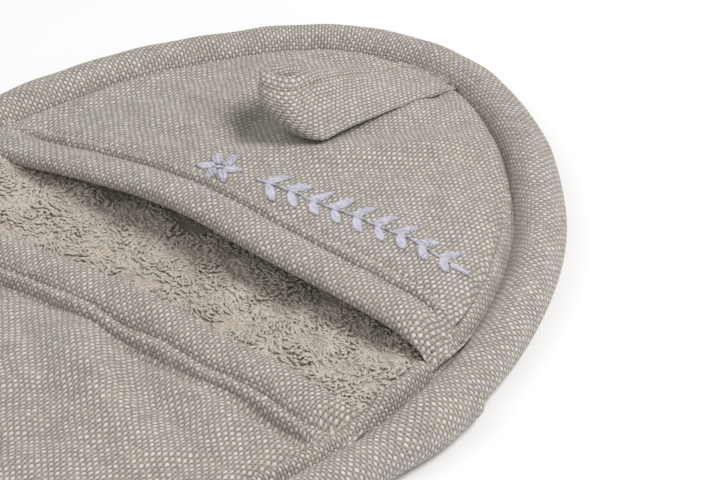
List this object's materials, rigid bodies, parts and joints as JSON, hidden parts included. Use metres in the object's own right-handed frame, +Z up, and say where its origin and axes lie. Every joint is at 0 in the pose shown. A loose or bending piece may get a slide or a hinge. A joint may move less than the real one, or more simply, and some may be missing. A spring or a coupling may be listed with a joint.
{
  "type": "oven mitt",
  "caption": "Flat oval canvas oven mitt with a lined pocket over each end, a terry grip between them, a bound edge and a hanging loop; it folds in half to pinch a hot handle.",
  "frame": {"origin": "under the middle of the oval, on the plane that the mitt's binding lies on", "axes": "+Y along the mitt's length towards the end with the hanging loop, +X along the pocket mouths, +Z up out of the pockets"},
  "size_m": [0.1788, 0.254, 0.0274],
  "materials": {
    "canvas": "matte cotton and linen plain weave, light floats on a taupe ground",
    "binding_tape": "matte plain weave, folded tape",
    "lining": "matte plain cotton",
    "terry": "looped terry pile",
    "wadding": "cotton wadding",
    "thread": "sewing thread",
    "embroidery": "satin-stitch thread with a soft sheen"
  },
  "bodies": {
    "plain_half": {"back_panel_plain_half": "canvas", "wadding_plain_half": "wadding", "terry_panel_plain_half": "terry", "edge_binding_plain_half": "binding_tape", "edge_stitching_plain_half": "thread", "plain_end_pocket_canvas": "canvas", "plain_end_pocket_lining": "lining", "plain_end_mouth_binding": "binding_tape", "plain_end_mouth_stitching": "thread"},
    "loop_half": {"back_panel_loop_half": "canvas", "wadding_loop_half": "wadding", "terry_panel_loop_half": "terry", "edge_binding_loop_half": "binding_tape", "edge_stitching_loop_half": "thread", "edge_binding_lapped_end": "binding_tape", "loop_end_pocket_canvas": "canvas", "loop_end_pocket_lining": "lining", "loop_end_mouth_binding": "binding_tape", "loop_end_mouth_stitching": "thread", "hanging_loop_root": "binding_tape", "embroidered_sprig": "embroidery"},
    "hanging_loop": {"hanging_loop": "binding_tape", "hanging_loop_stitching": "thread"}
  },
  "joints": [
    {"name": "fold", "type": "hinge", "parent": "plain_half", "child": "loop_half", "pos_m": [0, 0, 0], "axis": [-1, 0, 0], "range_deg": [0, 170], "stiffness_Nm_per_rad": 0.12},
    {"name": "loop_swing", "type": "hinge", "parent": "loop_half", "child": "hanging_loop", "pos_m": [0.00268, 0.10697, 0.01192], "axis": [-0.9903, 0.1392, 0], "range_deg": [0, 150]}
  ]
}
